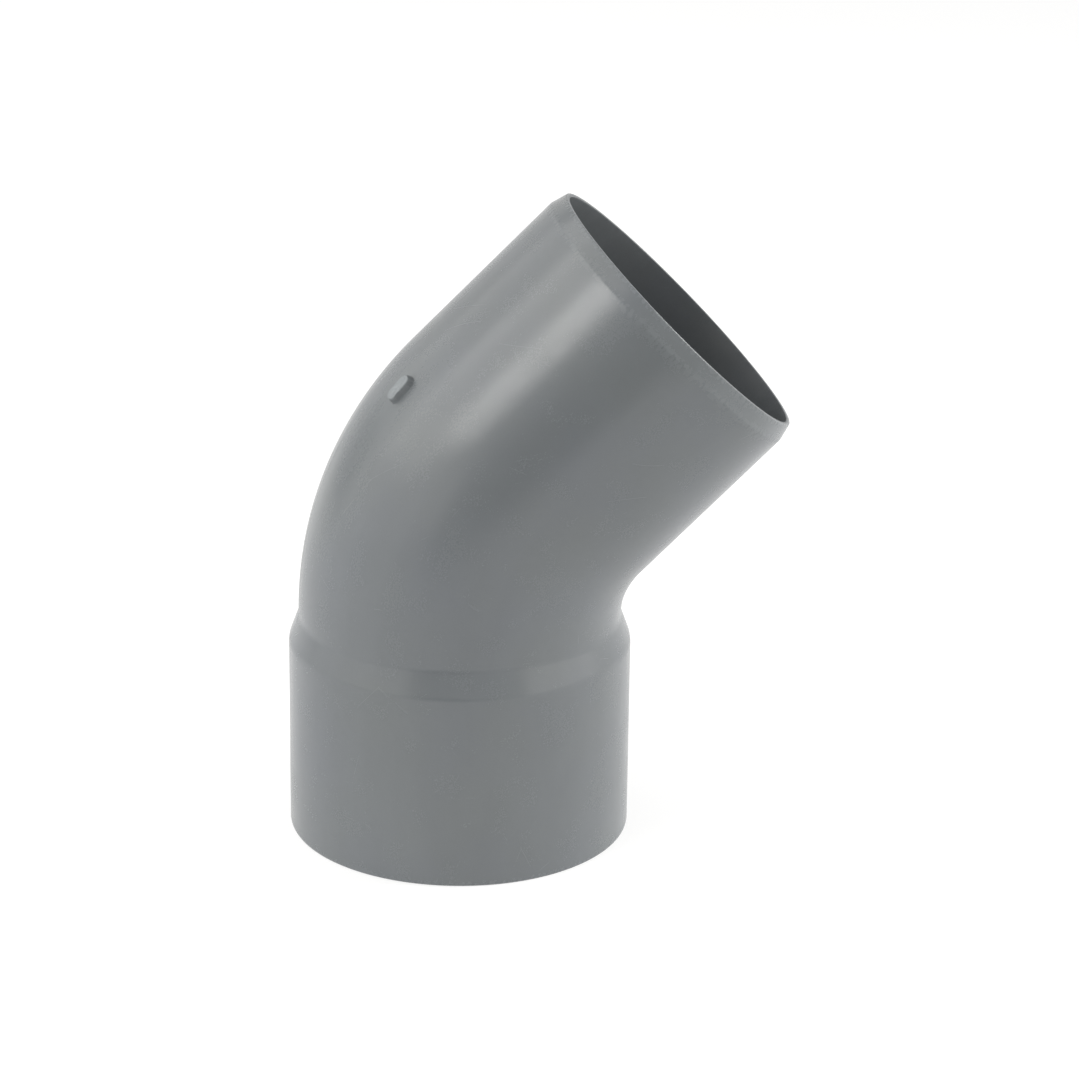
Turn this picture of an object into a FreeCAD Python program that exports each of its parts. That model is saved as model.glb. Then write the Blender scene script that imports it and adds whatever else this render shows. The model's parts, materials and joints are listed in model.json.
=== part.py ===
import FreeCAD, Part
import math
import os

# A 45 degree elbow in grey PVC-U for 110 mm low-pressure and drain pipe, in millimetres.
# One end is a plain socket that a pipe or another fitting's spigot goes into. The other end is
# a plain spigot, as wide as the pipe, that goes into the next socket.
#
# The real elbow is one moulding. Its three regions are modelled as three tubes that meet face to
# face, on planes square to the passage: the socket with its neck, the bend and the spigot.
#
# Frame: the origin is the centre of the socket's mouth and +Z runs up the socket's axis into the
# fitting. The bend turns towards +X, so the XZ plane is the elbow's plane of symmetry.

# Driving dimensions
PIPE_DIAMETER = 110.0
WALL = 3.2
BEND_ANGLE = 45.0
BEND_RADIUS = 77.2           # of the passage's centre line
SOCKET_DEPTH = 61.0          # from the mouth to the ledge that stops the pipe
SOCKET_PLAY = 0.3            # how much wider the socket's bore is than the pipe
BEND_START = 77.7            # from the mouth to the top of the shoulder, where the bend starts
SHOULDER_SLOPE = 20.0        # of the shoulder's conical middle, from the socket's axis
SHOULDER_ROUNDING = 7.0      # of the arcs that blend the cone into the socket and the neck
SPIGOT_LENGTH = 71.0         # straight length, with the chamfer
SPIGOT_CHAMFER_LENGTH = 6.0
SPIGOT_CHAMFER_DEPTH = 1.6
RIM_ROUNDING = 1.2           # outer edge of the socket's mouth
LEAD_IN_LENGTH = 1.0         # inner edge of the socket's mouth
LEAD_IN_DEPTH = 0.8
LEDGE_ROUNDING = 1.0         # inner edge of the ledge that stops the pipe

# The gate scar: what is left where the sprue was cut off the bend's outer side
GATE_BEND_ANGLE = 40.6       # how far round the bend its centre is
GATE_SIDE_ANGLE = 18.3       # how far round the tube it is from the elbow's outermost line, towards -Y
GATE_LENGTH = 11.0
GATE_WIDTH = 5.5
GATE_PROUD = 2.5             # how far it stands above the bend's surface
GATE_ROOT = 1.6              # how far it reaches into the wall, so that it is one solid with it

# Worked out from those
PIPE_RADIUS = PIPE_DIAMETER / 2
PASSAGE_RADIUS = PIPE_RADIUS - WALL
SOCKET_BORE_RADIUS = PIPE_RADIUS + SOCKET_PLAY / 2
SOCKET_OUTER_RADIUS = SOCKET_BORE_RADIUS + WALL
BEND_CENTRE = FreeCAD.Vector(BEND_RADIUS, 0, BEND_START)

# Each arc of the shoulder rises and narrows this much, and the cone does the rest of the narrowing
ARC_RISE = SHOULDER_ROUNDING * math.sin(math.radians(SHOULDER_SLOPE))
ARC_INSET = SHOULDER_ROUNDING * (1 - math.cos(math.radians(SHOULDER_SLOPE)))
CONE_INSET = SOCKET_OUTER_RADIUS - PIPE_RADIUS - 2 * ARC_INSET
CONE_RISE = CONE_INSET / math.tan(math.radians(SHOULDER_SLOPE))
SHOULDER_FOOT = BEND_START - CONE_RISE - 2 * ARC_RISE

UP = FreeCAD.Vector(0, 0, 1)
DEPTH = FreeCAD.Vector(0, 1, 0)


def vector(radius, height):
    """A point of a profile that is drawn in the XZ plane."""
    return FreeCAD.Vector(radius, 0, height)


def line(start, end):
    return Part.LineSegment(start, end).toShape()


def arc(start, centre, end):
    """The short arc between two points, about a centre in the XZ plane."""
    radius = (start - centre).Length
    middle = (start + end) * 0.5 - centre
    middle.normalize()
    return Part.Arc(start, centre + middle * radius, end).toShape()


def revolved(edges):
    """The solid that a closed profile in the XZ plane makes when it turns about Z."""
    face = Part.Face(Part.Wire(edges))
    return face.revolve(FreeCAD.Vector(0, 0, 0), UP, 360)


def shoulder_edges():
    """A cone between two arcs, which leave the socket's outside and meet the neck tangentially."""
    foot = vector(SOCKET_OUTER_RADIUS, SHOULDER_FOOT)
    foot_centre = vector(SOCKET_OUTER_RADIUS - SHOULDER_ROUNDING, SHOULDER_FOOT)
    cone_foot = vector(SOCKET_OUTER_RADIUS - ARC_INSET, SHOULDER_FOOT + ARC_RISE)
    cone_top = vector(PIPE_RADIUS + ARC_INSET, BEND_START - ARC_RISE)
    top = vector(PIPE_RADIUS, BEND_START)
    top_centre = vector(PIPE_RADIUS + SHOULDER_ROUNDING, BEND_START)
    return [arc(foot, foot_centre, cone_foot), line(cone_foot, cone_top), arc(cone_top, top_centre, top)]


def socket():
    """The socket, the ledge that stops the pipe, and the neck up to where the bend starts."""
    rim_inside = vector(SOCKET_BORE_RADIUS + LEAD_IN_DEPTH, 0)
    rim_outside = vector(SOCKET_OUTER_RADIUS - RIM_ROUNDING, 0)
    rim_centre = vector(SOCKET_OUTER_RADIUS - RIM_ROUNDING, RIM_ROUNDING)
    rim_top = vector(SOCKET_OUTER_RADIUS, RIM_ROUNDING)
    bore_mouth = vector(SOCKET_BORE_RADIUS, LEAD_IN_LENGTH)
    bore_end = vector(SOCKET_BORE_RADIUS, SOCKET_DEPTH)
    ledge_edge = vector(PASSAGE_RADIUS + LEDGE_ROUNDING, SOCKET_DEPTH)
    ledge_centre = vector(PASSAGE_RADIUS + LEDGE_ROUNDING, SOCKET_DEPTH + LEDGE_ROUNDING)
    passage_start = vector(PASSAGE_RADIUS, SOCKET_DEPTH + LEDGE_ROUNDING)
    edges = [
        line(rim_inside, rim_outside),
        arc(rim_outside, rim_centre, rim_top),
        line(rim_top, vector(SOCKET_OUTER_RADIUS, SHOULDER_FOOT)),
    ]
    edges += shoulder_edges()
    edges += [
        line(vector(PIPE_RADIUS, BEND_START), vector(PASSAGE_RADIUS, BEND_START)),
        line(vector(PASSAGE_RADIUS, BEND_START), passage_start),
        arc(passage_start, ledge_centre, ledge_edge),
        line(ledge_edge, bore_end),
        line(bore_end, bore_mouth),
        line(bore_mouth, rim_inside),
    ]
    return revolved(edges)


def along_bend(shape, angle):
    """A copy of a shape at the bend's start, carried round the bend by an angle."""
    moved = shape.copy()
    moved.rotate(BEND_CENTRE, DEPTH, angle)
    return moved


def gate_scar():
    """A round-ended ridge that is built on +X about the socket's axis, then swung into place."""
    inner = PIPE_RADIUS - GATE_ROOT
    height = GATE_ROOT + GATE_PROUD
    outward = FreeCAD.Vector(1, 0, 0)
    half_run = (GATE_LENGTH - GATE_WIDTH) / 2
    ridge = Part.makeBox(height, GATE_WIDTH, 2 * half_run,
                         FreeCAD.Vector(inner, -GATE_WIDTH / 2, BEND_START - half_run))
    for end in (-half_run, half_run):
        foot = FreeCAD.Vector(inner, 0, BEND_START + end)
        ridge = ridge.fuse(Part.makeCylinder(GATE_WIDTH / 2, height, foot, outward))
    # The bend's outermost line is on -X, and a turn past it by the side angle goes towards -Y.
    ridge.rotate(FreeCAD.Vector(0, 0, 0), UP, 180 + GATE_SIDE_ANGLE)
    return along_bend(ridge.removeSplitter(), GATE_BEND_ANGLE)


def bend():
    """The curved tube, with the gate scar on its outer side."""
    centre = FreeCAD.Vector(0, 0, BEND_START)
    outer = Part.Face(Part.Wire(Part.Circle(centre, UP, PIPE_RADIUS).toShape()))
    passage = Part.Face(Part.Wire(Part.Circle(centre, UP, PASSAGE_RADIUS).toShape()))
    section = outer.cut(passage).Faces[0]
    tube = section.revolve(BEND_CENTRE, DEPTH, BEND_ANGLE)
    return tube.fuse(gate_scar()).Solids[0]


def spigot():
    """The straight tube past the bend, with its outer edge chamfered, turned to lie on its axis."""
    chamfer_start = BEND_START + SPIGOT_LENGTH - SPIGOT_CHAMFER_LENGTH
    end = BEND_START + SPIGOT_LENGTH
    corners = [
        vector(PASSAGE_RADIUS, BEND_START),
        vector(PIPE_RADIUS, BEND_START),
        vector(PIPE_RADIUS, chamfer_start),
        vector(PIPE_RADIUS - SPIGOT_CHAMFER_DEPTH, end),
        vector(PASSAGE_RADIUS, end),
    ]
    edges = [line(start, finish) for start, finish in zip(corners, corners[1:] + corners[:1])]
    return along_bend(revolved(edges), BEND_ANGLE)


def main():
    os.makedirs("parts", exist_ok=True)
    sub_parts = {"socket": socket(), "bend": bend(), "spigot": spigot()}
    for name, shape in sub_parts.items():
        shape.exportStep("parts/" + name + ".step")
        box = shape.BoundBox
        print(name, "valid", shape.isValid(), "solids", len(shape.Solids),
              "volume cm3", round(shape.Volume / 1000, 2),
              "box", [round(value, 2) for value in
                      (box.XMin, box.YMin, box.ZMin, box.XMax, box.YMax, box.ZMax)])


main()
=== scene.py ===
import json
import math

import bpy
from mathutils import Matrix, Vector, noise


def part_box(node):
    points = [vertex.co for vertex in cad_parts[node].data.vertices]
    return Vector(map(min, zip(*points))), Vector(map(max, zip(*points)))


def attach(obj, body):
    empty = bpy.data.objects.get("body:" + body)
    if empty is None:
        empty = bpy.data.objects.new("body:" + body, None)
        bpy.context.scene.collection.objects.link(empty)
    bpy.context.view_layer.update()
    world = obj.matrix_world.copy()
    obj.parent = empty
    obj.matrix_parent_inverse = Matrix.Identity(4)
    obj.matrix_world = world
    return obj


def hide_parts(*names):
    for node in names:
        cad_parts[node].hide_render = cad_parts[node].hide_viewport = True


# The looks of a grey PVC-U elbow. Everything is in metres, in the CAD frame: the origin is the centre
# of the socket's mouth, +Z runs up the socket's axis and the spigot leans towards +X.

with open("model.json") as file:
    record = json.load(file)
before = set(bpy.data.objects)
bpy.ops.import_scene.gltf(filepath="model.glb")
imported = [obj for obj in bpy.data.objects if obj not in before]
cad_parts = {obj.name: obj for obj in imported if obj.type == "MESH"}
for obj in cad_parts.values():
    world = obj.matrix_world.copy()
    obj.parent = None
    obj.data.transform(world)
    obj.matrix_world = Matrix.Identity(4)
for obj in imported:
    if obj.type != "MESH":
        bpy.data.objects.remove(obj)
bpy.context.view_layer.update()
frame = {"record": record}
mounts = {mount["name"]: mount for mount in frame["record"]["mounts"]}
MM = 0.001

# ---------------------------------------------------------------- sizes, from the frame
BORE_RADIUS = mounts["socket"]["dims"]["r_mm"] * MM
TUBE_RADIUS = mounts["spigot"]["dims"]["r_mm"] * MM
SOCKET_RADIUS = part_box("socket")[1].x
WALL = SOCKET_RADIUS - BORE_RADIUS
PASSAGE_RADIUS = TUBE_RADIUS - WALL
LEAD_IN_LENGTH = mounts["socket"]["pos_m"][2]
LEDGE_HEIGHT = LEAD_IN_LENGTH + mounts["socket"]["dims"]["length_mm"] * MM
BEND_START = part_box("socket")[1].z
BEND_ANGLE = math.acos(mounts["spigot"]["axis"][2])
spigot_axis = Vector(mounts["spigot"]["axis"])
spigot_end = Vector((mounts["spigot_end"]["pos_m"][0], 0, mounts["spigot_end"]["pos_m"][2]))
CHAMFER_LENGTH = (spigot_end - Vector(mounts["spigot"]["pos_m"])).dot(spigot_axis)
SPIGOT_LENGTH = mounts["spigot"]["dims"]["length_mm"] * MM + CHAMFER_LENGTH
# The spigot's axis meets the socket's at this height, and the bend's arc is tangent to both.
axes_meet = spigot_end.z - spigot_end.x / math.tan(BEND_ANGLE)
BEND_RADIUS = (axes_meet - BEND_START) / math.tan(BEND_ANGLE / 2)
BEND_END = BEND_START + BEND_RADIUS * BEND_ANGLE        # lengths along the passage's centre line
SPIGOT_TOP = BEND_END + SPIGOT_LENGTH
bend_centre = Vector((BEND_RADIUS, 0, BEND_START))

# ---------------------------------------------------------------- sizes of the moulding's details
SHOULDER_SLOPE = math.radians(20.0)
SHOULDER_ROUNDING = 7.0 * MM   # of the arcs at its foot and its top
CHAMFER_DEPTH = 1.6 * MM
LEAD_IN_DEPTH = 0.8 * MM
RIM_ROUNDING = 1.2 * MM
LEDGE_ROUNDING = 1.0 * MM
BORE_FOOT_ROUNDING = 0.6 * MM
EDGE_ROUNDING = 0.35 * MM      # of every other edge

PARTING_HEIGHT = 0.07 * MM     # the witness line where the mould's halves met
PARTING_HALF_WIDTH = 0.3 * MM
PARTING_CHANGE = 9.0 * MM      # the line grows and shrinks over about this length
CORE_STEP = 0.12 * MM          # the bend's core stood this much proud of the straight ones
CORE_STEP_LENGTH = 0.25 * MM
WAVE_HEIGHT = 0.05 * MM        # of the broad unevenness that shrinkage leaves
WAVE_LENGTH = 28.0 * MM

GATE_ALONG = BEND_START + BEND_RADIUS * math.radians(40.6)
GATE_AROUND = math.radians(18.3)       # from the outermost line, towards -Y
GATE_LENGTH = 11.0 * MM
GATE_WIDTH = 5.5 * MM
GATE_HEIGHT = 2.5 * MM
GATE_EDGE = 1.1 * MM           # how far in from its foot it reaches full height
GATE_TEAR = 0.22 * MM          # unevenness of its torn top
GATE_TEAR_SIZE = 1.3 * MM      # of its coarsest bumps
# The outer side of the bend is longer than the centre line by this much.
GATE_STRETCH = (BEND_RADIUS + TUBE_RADIUS * math.cos(GATE_AROUND)) / BEND_RADIUS

RING_STEP = 1.5 * MM           # between the mesh's rings
COLUMNS = 360                  # of the mesh, all the way round
SUPPORT = 0.15 * MM            # a ring this close to each corner keeps the flat beside it flat
GATE_STEP = 0.16 * MM          # of the finer mesh round the gate's scar, which reaches
GATE_MARGIN = 0.8 * MM         # this far past it
WEAR_REACH = 1.3 * MM          # how far handling wear spreads from a corner
TOLERANCE = 0.001 * MM         # places nearer each other than this are the same


# ---------------------------------------------------------------- the sweep that the elbow is built on
def station(along):
    """Centre of the passage and outward direction at angle 0, at a length along the centre line."""
    turned = min(max(along - BEND_START, 0), BEND_END - BEND_START) / BEND_RADIUS
    axis = Vector((math.sin(turned), 0, math.cos(turned)))
    outward = Vector((-math.cos(turned), 0, math.sin(turned)))
    if along <= BEND_START:
        return Vector((0, 0, along)), outward
    return bend_centre + outward * BEND_RADIUS + axis * max(along - BEND_END, 0), outward


def on_sweep(along, around, radius):
    """The point at a length along, an angle around (0 outermost, 90 degrees on -Y) and a radius."""
    centre, outward = station(along)
    return centre + (outward * math.cos(around) + Vector((0, -math.sin(around), 0))) * radius


def straightened(along, around, radius):
    """The same point with the elbow straightened, so that a pattern in this space follows the bend."""
    return Vector((radius * math.cos(around), radius * math.sin(around), along))


# ---------------------------------------------------------------- the wall's outline, as (along, radius)
def run(start, end):
    """Points of a straight stretch of the outline, without its ends."""
    start, end = Vector(start), Vector(end)
    length = (end - start).length
    count = max(1, round(length / RING_STEP))
    shares = [i / count for i in range(1, count)]
    if length > 4 * SUPPORT:
        shares = [SUPPORT / length] + shares + [1 - SUPPORT / length]
    return [tuple(start.lerp(end, share)) for share in shares]


def rounded(before, corner, after, reach):
    """Points of a curve that rounds a corner of the outline, from one reach before it to one after."""
    before, corner, after = Vector(before), Vector(corner), Vector(after)
    start = corner + (before - corner).normalized() * reach
    end = corner + (after - corner).normalized() * reach
    shares = [i / 6 for i in range(7)]
    return [tuple(start * (1 - t) ** 2 + corner * 2 * t * (1 - t) + end * t ** 2) for t in shares]


def shoulder():
    """A cone between two equal arcs, tangent to the socket's outside and to the tube's."""
    arc = [SHOULDER_SLOPE * i / 8 for i in range(9)]
    rises = [SHOULDER_ROUNDING * math.sin(angle) for angle in arc]
    insets = [SHOULDER_ROUNDING * (1 - math.cos(angle)) for angle in arc]
    cone_inset = SOCKET_RADIUS - TUBE_RADIUS - 2 * insets[-1]
    foot = BEND_START - cone_inset / math.tan(SHOULDER_SLOPE) - 2 * rises[-1]
    lower = [(foot + rise, SOCKET_RADIUS - inset) for rise, inset in zip(rises, insets)]
    upper = [(BEND_START - rise, TUBE_RADIUS + inset) for rise, inset in zip(rises, insets)][::-1]
    return lower + run(lower[-1], upper[0]) + upper


def joined(stretches):
    """One line of points through the stretches in turn, with rings at even steps between them."""
    points = list(stretches[0])
    for stretch in stretches[1:]:
        points += run(points[-1], stretch[0]) + stretch
    return points


RIM_OUTER = (0, SOCKET_RADIUS)
RIM_INNER = (0, BORE_RADIUS + LEAD_IN_DEPTH)
LEAD_IN = (LEAD_IN_LENGTH, BORE_RADIUS)
LEDGE_OUTER = (LEDGE_HEIGHT, BORE_RADIUS)
LEDGE_INNER = (LEDGE_HEIGHT, PASSAGE_RADIUS)
CHAMFER_FOOT = (SPIGOT_TOP - CHAMFER_LENGTH, TUBE_RADIUS)
END_OUTER = (SPIGOT_TOP, TUBE_RADIUS - CHAMFER_DEPTH)
END_INNER = (SPIGOT_TOP, PASSAGE_RADIUS)
WORN_CORNERS = (RIM_OUTER, RIM_INNER, CHAMFER_FOOT, END_OUTER, END_INNER)


def socket_outline():
    outside = joined([
        rounded(RIM_INNER, RIM_OUTER, shoulder()[0], RIM_ROUNDING),
        shoulder(),
    ])
    inside = joined([
        [(BEND_START, PASSAGE_RADIUS)],
        rounded((BEND_START, PASSAGE_RADIUS), LEDGE_INNER, LEDGE_OUTER, LEDGE_ROUNDING),
        rounded(LEDGE_INNER, LEDGE_OUTER, LEAD_IN, BORE_FOOT_ROUNDING),
        rounded(LEDGE_OUTER, LEAD_IN, RIM_INNER, EDGE_ROUNDING),
        rounded(LEAD_IN, RIM_INNER, RIM_OUTER, EDGE_ROUNDING),
    ])
    return outside, inside


def bend_outline():
    """The passage has a small step at each end, where the bend's core met a straight one."""
    half_gate = (GATE_LENGTH / 2 + GATE_MARGIN) / GATE_STRETCH
    steps = math.ceil(half_gate * GATE_STRETCH / GATE_STEP)
    gate = [(GATE_ALONG + half_gate * i / steps, TUBE_RADIUS) for i in range(-steps, steps + 1)]
    outside = joined([[(BEND_START, TUBE_RADIUS)], gate, [(BEND_END, TUBE_RADIUS)]])
    third = (BEND_END - BEND_START) / 3
    inside = joined([
        [(BEND_END, PASSAGE_RADIUS), (BEND_END - CORE_STEP_LENGTH, PASSAGE_RADIUS + CORE_STEP)],
        [(BEND_END - third, PASSAGE_RADIUS)],
        [(BEND_START + third, PASSAGE_RADIUS)],
        [(BEND_START + CORE_STEP_LENGTH, PASSAGE_RADIUS + CORE_STEP), (BEND_START, PASSAGE_RADIUS)],
    ])
    return outside, inside


def spigot_outline():
    outside = joined([
        [(BEND_END, TUBE_RADIUS)],
        rounded((BEND_END, TUBE_RADIUS), CHAMFER_FOOT, END_OUTER, EDGE_ROUNDING),
        rounded(CHAMFER_FOOT, END_OUTER, END_INNER, EDGE_ROUNDING),
    ])
    inside = joined([
        rounded(END_OUTER, END_INNER, (BEND_END, PASSAGE_RADIUS), EDGE_ROUNDING),
        [(BEND_END, PASSAGE_RADIUS)],
    ])
    return outside, inside


# ---------------------------------------------------------------- relief on the outline
def from_parting(around):
    """Angle from the nearer of the two parting lines, which lie in the plane of the bend."""
    return abs(math.remainder(around, math.pi))


def parting_ridge(around, along):
    """Height of the fine line that the mould's two halves leave on the outside."""
    share = 1 - from_parting(around) * TUBE_RADIUS / PARTING_HALF_WIDTH
    if share <= 0:
        return 0
    uneven = 0.75 + 0.5 * noise.noise(Vector((0, 0, along / PARTING_CHANGE)))
    return PARTING_HEIGHT * share * uneven


def gate_share(along, around):
    """How far up the gate's stub a place is, from 0 off it to 1 on its top."""
    lengthwise = (along - GATE_ALONG) * GATE_STRETCH
    sideways = math.remainder(around - GATE_AROUND, 2 * math.pi) * TUBE_RADIUS
    past_run = max(abs(lengthwise) - (GATE_LENGTH - GATE_WIDTH) / 2, 0)
    inward = (GATE_WIDTH / 2 - math.hypot(past_run, sideways)) / GATE_EDGE
    inward = min(max(inward, 0), 1)
    return 1 - (1 - inward) ** 3


def gate_scar(along, around):
    """Height of the stub where the sprue was cut off, whose top is torn."""
    share = gate_share(along, around)
    if share == 0:
        return 0
    torn = noise.fractal(straightened(along, around, TUBE_RADIUS) / GATE_TEAR_SIZE, 0.8, 2.2, 4)
    return share * (GATE_HEIGHT + GATE_TEAR * torn)


def unevenness(place):
    """Height of the broad waves that shrinkage leaves."""
    return WAVE_HEIGHT * noise.noise(place / WAVE_LENGTH)


def column_angles():
    """Angles round the tube, with closer ones that shape the parting lines and the gate's scar."""
    shares = (-1.4, -1, -0.5, 0, 0.5, 1, 1.4)
    close = [ridge + share * PARTING_HALF_WIDTH / TUBE_RADIUS for ridge in (0, math.pi) for share in shares]
    half_gate = (GATE_WIDTH / 2 + GATE_MARGIN) / TUBE_RADIUS
    steps = math.ceil(half_gate * TUBE_RADIUS / GATE_STEP)
    close += [GATE_AROUND + half_gate * i / steps for i in range(-steps, steps + 1)]
    spacing = 2 * math.pi / COLUMNS
    even = [i * spacing for i in range(COLUMNS)]
    angles = [angle % (2 * math.pi) for angle in close]
    for angle in even:
        if min(abs(math.remainder(angle - other, 2 * math.pi)) for other in close) > spacing / 4:
            angles.append(angle)
    return sorted(angles)


# ---------------------------------------------------------------- meshes
def attribute(mesh, name, kind, values):
    """Stores a number or a vector per vertex, for the material to read."""
    layer = mesh.attributes.new(name, kind, "POINT")
    if kind == "FLOAT_VECTOR":
        layer.data.foreach_set("vector", [number for value in values for number in value])
    else:
        layer.data.foreach_set("value", values)


def skin(name, outside, inside, angles):
    """One stretch of the elbow as a closed skin: its outline swept round the passage.

    Its two flat ends inside the wall, where it meets the next stretch, are edged sharp."""
    outline = outside + inside
    vertices, places, is_inside, wear, torn = [], [], [], [], []
    for index, (along, radius) in enumerate(outline):
        gap = min((Vector((along, radius)) - Vector(corner)).length for corner in WORN_CORNERS)
        for around in angles:
            place = straightened(along, around, radius)
            rise = 0
            if RIM_ROUNDING < along < CHAMFER_FOOT[0]:
                rise = unevenness(place)
            if rise and index < len(outside):
                rise += parting_ridge(around, along) + gate_scar(along, around)
            vertices.append(on_sweep(along, around, radius + rise))
            places.append(place)
            is_inside.append(float(index >= len(outside)))
            wear.append(math.exp(-(gap / WEAR_REACH) ** 2))
            torn.append(gate_share(along, around) if index < len(outside) else 0.0)
    rings, columns = len(outline), len(angles)
    faces = []
    for ring in range(rings):
        here, above = ring * columns, (ring + 1) % rings * columns
        for column in range(columns):
            beside = (column + 1) % columns
            faces.append((here + column, here + beside, above + beside, above + column))
    mesh = bpy.data.meshes.new(name)
    mesh.from_pydata(vertices, [], faces)
    mesh.polygons.foreach_set("use_smooth", [True] * len(faces))
    attribute(mesh, "straightened", "FLOAT_VECTOR", places)
    # flags the passage's walls; the material paints shade there by darkening their colour
    attribute(mesh, "inside", "FLOAT", is_inside)
    attribute(mesh, "wear", "FLOAT", wear)
    attribute(mesh, "torn", "FLOAT", torn)
    sharpen_cut_ends(mesh, outline, columns)
    mesh.update()
    piece = bpy.data.objects.new(name, mesh)
    bpy.context.scene.collection.objects.link(piece)
    return piece


def sharpen_cut_ends(mesh, outline, columns):
    """Marks the edges of the flat ends inside the wall, so that shading runs on smoothly past them."""
    cut_rings = {ring for ring, point in enumerate(outline) if is_cut_corner(point)}
    sharp = []
    for edge in mesh.edges:
        first, second = (vertex // columns for vertex in edge.vertices)
        sharp.append(first == second and first in cut_rings)
    layer = mesh.attributes.new("sharp_edge", "BOOLEAN", "EDGE")
    layer.data.foreach_set("value", sharp)


def is_cut_corner(point):
    """Whether the outline's point is where one stretch of the elbow meets the next."""
    cuts = [(along, radius) for along in (BEND_START, BEND_END) for radius in (TUBE_RADIUS, PASSAGE_RADIUS)]
    return any(math.dist(point, cut) < TOLERANCE for cut in cuts)


# ---------------------------------------------------------------- the material
PVC_COOL = (0.146, 0.158, 0.170)       # its two base colours, which drift into each other
PVC_NEUTRAL = (0.148, 0.160, 0.165)
PVC_ROUGHNESS = 0.23
PVC_IOR = 1.5
SCUFF_SIZE = 1.4 * MM                  # marks of handling, at the corners
DRAW_MARK_WIDTH = 1.1 * MM             # long streaks that the cores left as they were drawn out
DRAW_MARK_LENGTH = 60 * MM
BLUSH_INNER = 4 * MM                   # the paler flow mark round the gate: full as far as this
BLUSH_OUTER = 24 * MM                  # from its middle, and gone by this
GRAIN_SIZE = 0.45 * MM                 # finest texture of the mould's surface
PEEL_SIZE = 2.6 * MM                   # faint orange peel


def node(tree, kind, inputs, **settings):
    """Adds a shader node. Each input is given a value or another node's output."""
    made = tree.nodes.new(kind)
    for name, value in settings.items():
        setattr(made, name, value)
    for name, value in inputs.items():
        if isinstance(value, bpy.types.NodeSocket):
            tree.links.new(value, made.inputs[name])
        else:
            made.inputs[name].default_value = value
    return made


def calculated(tree, operation, first, second=0.0):
    return node(tree, "ShaderNodeMath", {0: first, 1: second}, operation=operation).outputs[0]


def total(tree, values):
    """The sum of several outputs."""
    result = values[0]
    for value in values[1:]:
        result = calculated(tree, "ADD", result, value)
    return result


def ranged(tree, value, low, high, to_low, to_high):
    """The value's stretch from low to high, mapped to another one and held at its ends."""
    inputs = {"Value": value, "From Min": low, "From Max": high, "To Min": to_low, "To Max": to_high}
    return node(tree, "ShaderNodeMapRange", inputs).outputs["Result"]


def scaled(tree, place, across, lengthwise):
    """The place in units of a feature's size across the tube and along it."""
    factors = (1 / across, 1 / across, 1 / lengthwise)
    inputs = {0: place, 1: factors}
    return node(tree, "ShaderNodeVectorMath", inputs, operation="MULTIPLY").outputs[0]


def mottling(tree, place, across, lengthwise=None, detail=2.0, low=0.3, high=0.7, to_low=0.0, to_high=1.0):
    """Smooth noise whose features have these sizes in metres."""
    vector = scaled(tree, place, across, lengthwise or across)
    inputs = {"Vector": vector, "Scale": 1.0, "Detail": detail}
    return ranged(tree, node(tree, "ShaderNodeTexNoise", inputs).outputs[0], low, high, to_low, to_high)


def scratches(tree, place, turn, spacing, width):
    """Sparse hairlines: the walls of very long cells that lie at an angle to the tube."""
    inputs = {"Vector": place, "Rotation": turn}
    turned = node(tree, "ShaderNodeVectorRotate", inputs, rotation_type="EULER_XYZ").outputs[0]
    vector = scaled(tree, turned, spacing, spacing * 14)
    inputs = {"Vector": vector, "Scale": 1.0}
    walls = node(tree, "ShaderNodeTexVoronoi", inputs, feature="DISTANCE_TO_EDGE").outputs["Distance"]
    line = ranged(tree, walls, 0.0, width / spacing, 1.0, 0.0)
    return calculated(tree, "MULTIPLY", line, mottling(tree, place, spacing * 0.9, low=0.6, high=0.7))


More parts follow.
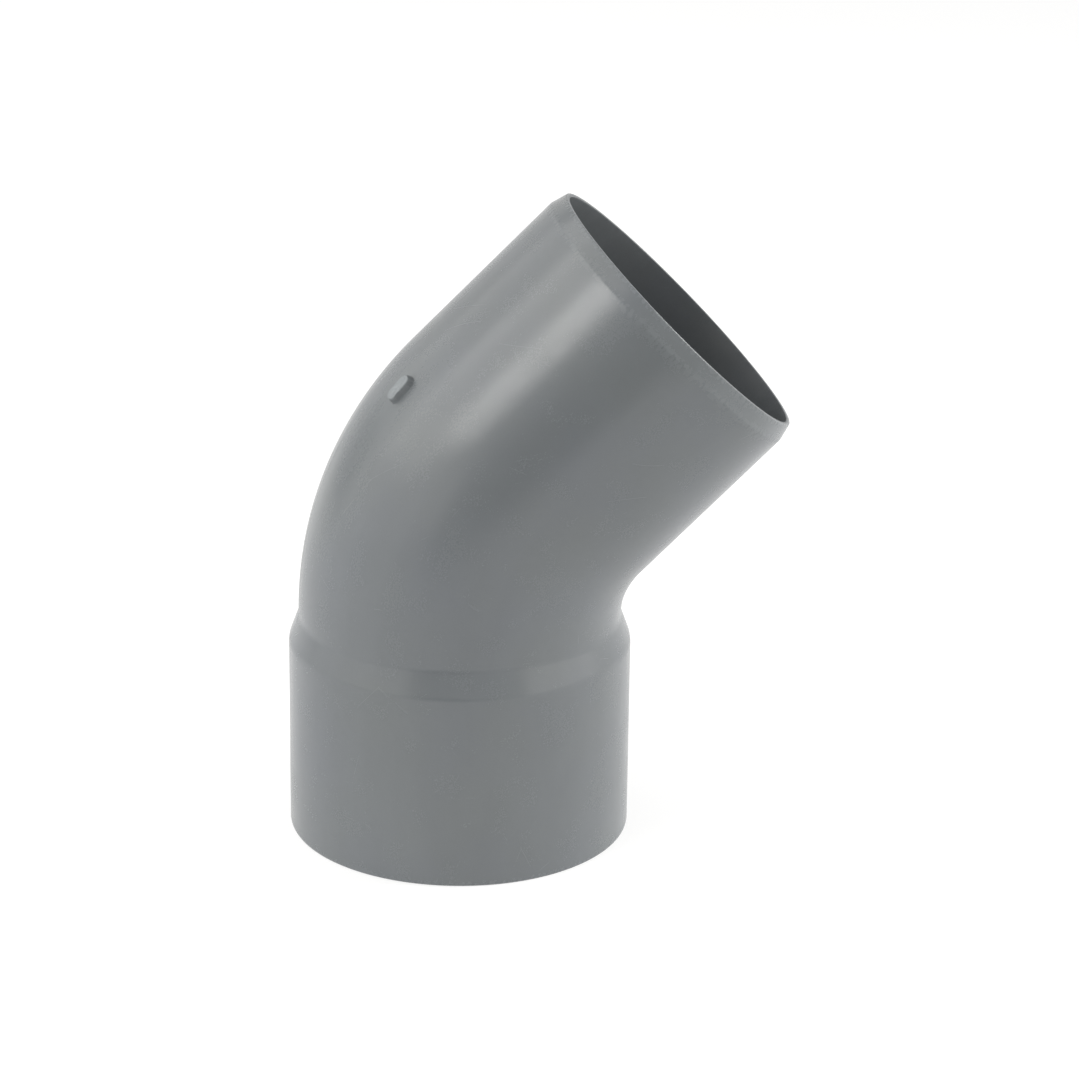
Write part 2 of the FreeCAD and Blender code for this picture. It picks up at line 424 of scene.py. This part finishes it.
def pvc():
    """Grey PVC-U as it leaves the mould: satin, faintly clouded and streaked, paler where it is scuffed,
    and with painted shade: its colour is darker inside the passage, where shade falls.
    """
    material = bpy.data.materials.new("grey_pvc")
    material.use_nodes = True
    tree = material.node_tree
    place = node(tree, "ShaderNodeAttribute", {}, attribute_name="straightened").outputs["Vector"]
    inside = node(tree, "ShaderNodeAttribute", {}, attribute_name="inside").outputs["Fac"]
    wear = node(tree, "ShaderNodeAttribute", {}, attribute_name="wear").outputs["Fac"]
    torn = node(tree, "ShaderNodeAttribute", {}, attribute_name="torn").outputs["Fac"]
    torn = ranged(tree, torn, 0.9, 1.0, 0.0, 1.0)

    gate_place = straightened(GATE_ALONG, GATE_AROUND, TUBE_RADIUS)
    gate_gap = node(tree, "ShaderNodeVectorMath", {0: place, 1: gate_place}, operation="DISTANCE")
    blush = ranged(tree, gate_gap.outputs["Value"], BLUSH_INNER, BLUSH_OUTER, 1.0, 0.0)
    blush = calculated(tree, "MULTIPLY", blush, mottling(tree, place, 5 * MM, 12 * MM, to_low=0.4))
    scuffed = mottling(tree, place, SCUFF_SIZE, 2.2 * MM, detail=4.0, low=0.42, high=0.6)
    scuffed = calculated(tree, "MULTIPLY", scuffed, wear)
    hairlines = calculated(
        tree, "MAXIMUM",
        scratches(tree, place, (0.9, 0.3, 0.2), 21 * MM, 0.10 * MM),
        scratches(tree, place, (-0.4, 0.7, 1.1), 27 * MM, 0.08 * MM),
    )
    draw_marks = mottling(tree, place, DRAW_MARK_WIDTH, DRAW_MARK_LENGTH, detail=3.0)
    draw_marks = calculated(tree, "MULTIPLY", draw_marks, inside)
    grain = mottling(tree, place, GRAIN_SIZE, detail=2.0)
    peel = mottling(tree, place, PEEL_SIZE, detail=1.0)

    shade = total(tree, [
        mottling(tree, place, 55 * MM, to_low=0.965, to_high=1.015),
        mottling(tree, place, 7 * MM, 55 * MM, to_low=-0.012, to_high=0.012),
        mottling(tree, place, 9 * MM, detail=3.0, to_low=-0.01, to_high=0.01),
        ranged(tree, grain, 0.0, 1.0, -0.018, 0.018),
        ranged(tree, blush, 0.0, 1.0, 0.0, 0.035),
        ranged(tree, torn, 0.0, 1.0, 0.0, 0.5),
        # painted shade: the colour inside the passage is darkened for the shade that falls within it
        ranged(tree, inside, 0.0, 1.0, 0.0, -0.25),
        ranged(tree, scuffed, 0.0, 1.0, 0.0, 0.09),
        ranged(tree, hairlines, 0.0, 1.0, 0.0, 0.05),
    ])
    tint = node(tree, "ShaderNodeMix", {0: mottling(tree, place, 40 * MM)}, data_type="RGBA")
    tint.inputs["A"].default_value = (*PVC_COOL, 1)
    tint.inputs["B"].default_value = (*PVC_NEUTRAL, 1)
    colour = node(tree, "ShaderNodeVectorMath", {0: tint.outputs["Result"], 1: shade}, operation="MULTIPLY")
    roughness = total(tree, [
        mottling(tree, place, 11 * MM, detail=3.0, to_low=PVC_ROUGHNESS, to_high=PVC_ROUGHNESS + 0.05),
        ranged(tree, grain, 0.0, 1.0, -0.015, 0.015),
        ranged(tree, blush, 0.0, 1.0, 0.0, 0.05),
        ranged(tree, torn, 0.0, 1.0, 0.0, 0.25),
        ranged(tree, scuffed, 0.0, 1.0, 0.0, 0.1),
        ranged(tree, hairlines, 0.0, 1.0, 0.0, 0.08),
        ranged(tree, inside, 0.0, 1.0, 0.0, 0.08),
        ranged(tree, draw_marks, 0.0, 1.0, 0.0, 0.06),
    ])
    height = total(tree, [
        ranged(tree, grain, 0.0, 1.0, 0.0, 0.0025 * MM),
        ranged(tree, peel, 0.0, 1.0, 0.0, 0.006 * MM),
        ranged(tree, scuffed, 0.0, 1.0, 0.0, -0.012 * MM),
        ranged(tree, hairlines, 0.0, 1.0, 0.0, -0.004 * MM),
        ranged(tree, draw_marks, 0.0, 1.0, 0.0, 0.02 * MM),
    ])
    bump = node(tree, "ShaderNodeBump", {"Strength": 1.0, "Distance": 1.0, "Height": height})
    shader = tree.nodes["Principled BSDF"]
    shader.inputs["IOR"].default_value = PVC_IOR
    tree.links.new(colour.outputs[0], shader.inputs["Base Color"])
    tree.links.new(roughness, shader.inputs["Roughness"])
    tree.links.new(bump.outputs["Normal"], shader.inputs["Normal"])
    return material


# ---------------------------------------------------------------- the pieces
angles = column_angles()
finish = pvc()
outlines = {"socket": socket_outline(), "bend": bend_outline(), "spigot": spigot_outline()}
for node_name, (outside, inside) in outlines.items():
    piece = skin("moulded_" + node_name, outside, inside, angles)
    piece.data.materials.append(finish)
    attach(piece, "root")
    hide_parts(node_name)


# ---------------------------------------------------------------- floor
FLOOR_REACH = 9.0              # metres, to either side and behind
FLOOR_IN_FRONT = 0.8           # metres
FLOOR_COLOUR = (0.3, 0.3, 0.3, 1)
FLOOR_ROUGHNESS = 0.9
FLOOR_SHEEN = 0.1
FLOOR_GLOW = 0.72              # strength of the light it gives off itself


def pale_floor():
    """Matt board, lit from within so that it stays white as far as it reaches."""
    material = bpy.data.materials.new("pale_floor")
    material.use_nodes = True
    shader = material.node_tree.nodes["Principled BSDF"]
    shader.inputs["Base Color"].default_value = FLOOR_COLOUR
    shader.inputs["Roughness"].default_value = FLOOR_ROUGHNESS
    shader.inputs["Specular IOR Level"].default_value = FLOOR_SHEEN
    shader.inputs["Emission Color"].default_value = (1, 1, 1, 1)
    shader.inputs["Emission Strength"].default_value = FLOOR_GLOW
    return material


def floor():
    corners = [
        (-FLOOR_REACH, -FLOOR_IN_FRONT, 0), (FLOOR_REACH, -FLOOR_IN_FRONT, 0),
        (FLOOR_REACH, FLOOR_REACH, 0), (-FLOOR_REACH, FLOOR_REACH, 0),
    ]
    mesh = bpy.data.meshes.new("floor")
    mesh.from_pydata(corners, [], [(0, 1, 2, 3)])
    mesh.materials.append(pale_floor())
    piece = bpy.data.objects.new("floor", mesh)
    bpy.context.scene.collection.objects.link(piece)
    return piece


floor()

# ---------------------------------------------------------------- camera
CAMERA_AZIMUTH = math.radians(-6.47)
CAMERA_ELEVATION = math.radians(20.71)
CAMERA_ROLL = math.radians(0.733)
CAMERA_DISTANCE = 1.391
AIM_RIGHT = 0.02805
AIM_UP = 0.09560
LENS = 133.3
SENSOR = 36.0


def direction(azimuth, elevation):
    """Unit vector from the object to something at that azimuth (0 in front, on -Y) and elevation."""
    level = math.cos(elevation)
    return Vector((math.sin(azimuth) * level, -math.cos(azimuth) * level, math.sin(elevation)))


def camera():
    backward = direction(CAMERA_AZIMUTH, CAMERA_ELEVATION)
    level = Vector((math.cos(CAMERA_AZIMUTH), math.sin(CAMERA_AZIMUTH), 0))
    upright = backward.cross(level)
    right = level * math.cos(CAMERA_ROLL) + upright * math.sin(CAMERA_ROLL)
    up = upright * math.cos(CAMERA_ROLL) - level * math.sin(CAMERA_ROLL)
    data = bpy.data.cameras.new("camera")
    data.lens = LENS
    data.sensor_width = SENSOR
    item = bpy.data.objects.new("camera", data)
    bpy.context.scene.collection.objects.link(item)
    place = right * AIM_RIGHT + up * AIM_UP + backward * CAMERA_DISTANCE
    item.matrix_world = Matrix.Translation(place) @ Matrix((right, up, backward)).transposed().to_4x4()
    bpy.context.scene.camera = item


camera()

# ---------------------------------------------------------------- light
LIT_POINT = Vector((0.02, 0, 0.11))    # the middle of the elbow, which every softbox faces
LIGHT_DISTANCE = 1.5
# Azimuth, elevation, width and height in degrees as seen from the object, and brightness.
SOFTBOXES = {
    "key_strip": (-53, 38, 21, 16, 6.6),
    "key_strip_foot": (-52, 28.5, 18, 5, 4.0),
    "key": (-84, 34, 36, 28, 2.3),
    "key_far": (-122, 32, 40, 28, 0.95),
    "left_low": (-78, 11, 76, 22, 0.85),
    "top_left": (-72, 62, 56, 16, 1.6),
    "top_back": (-126, 52, 44, 16, 1.6),
    "back_left": (-160, 15, 44, 30, 0.34),
    "right": (86, 33, 20, 26, 15.5),
    "right_low": (64, 9, 54, 18, 1.3),
    "right_edge": (104, 9, 34, 18, 1.2),
    "front": (-8, 20, 20, 12, 0.35),
}
LIGHT_COLOUR = (1.0, 0.985, 0.955)     # a little warmer than the surroundings
SURROUNDINGS = 0.45            # brightness of the studio round the object, as it lights the object,
BACKDROP = 0.95                # and as it looks past the floor's far edge
OPENING = 0.05                 # brightness of the dark opening in the studio's front
OPENING_AZIMUTH = math.radians(-16)
OPENING_ELEVATION = math.radians(2)
OPENING_INNER = math.radians(11)       # the opening is dark as far as this from its middle
OPENING_OUTER = math.radians(23)       # and ends here


def softbox(name, azimuth, elevation, width, height, brightness):
    """A plain rectangular light that faces the object."""
    towards = direction(math.radians(azimuth), math.radians(elevation))
    data = bpy.data.lights.new(name, "AREA")
    data.shape = "RECTANGLE"
    data.size = 2 * LIGHT_DISTANCE * math.tan(math.radians(width / 2))
    data.size_y = 2 * LIGHT_DISTANCE * math.tan(math.radians(height / 2))
    data.energy = brightness * math.pi * data.size * data.size_y
    data.color = LIGHT_COLOUR
    item = bpy.data.objects.new(name, data)
    item.location = LIT_POINT + towards * LIGHT_DISTANCE
    item.rotation_euler = towards.to_track_quat("Z", "Y").to_euler()
    item.visible_camera = False
    bpy.context.scene.collection.objects.link(item)


def studio():
    """White surroundings with a dark opening in front, which look paler than they light the object."""
    world = bpy.data.worlds.new("studio")
    world.use_nodes = True
    tree = world.node_tree
    seen = node(tree, "ShaderNodeLightPath", {}).outputs["Is Camera Ray"]
    towards = node(tree, "ShaderNodeTexCoord", {}).outputs["Generated"]
    inputs = {0: towards, 1: direction(OPENING_AZIMUTH, OPENING_ELEVATION)}
    nearness = node(tree, "ShaderNodeVectorMath", inputs, operation="DOT_PRODUCT").outputs["Value"]
    edges = (math.cos(OPENING_OUTER), math.cos(OPENING_INNER))
    glow = ranged(tree, nearness, *edges, SURROUNDINGS, OPENING)
    background = tree.nodes["Background"]
    background.inputs["Color"].default_value = (1, 1, 1, 1)
    tree.links.new(ranged(tree, seen, 0.0, 1.0, glow, BACKDROP), background.inputs["Strength"])
    bpy.context.scene.world = world


for name, (azimuth, elevation, width, height, brightness) in SOFTBOXES.items():
    softbox(name, azimuth, elevation, width, height, brightness)
studio()
bpy.context.scene.view_settings.view_transform = "Standard"
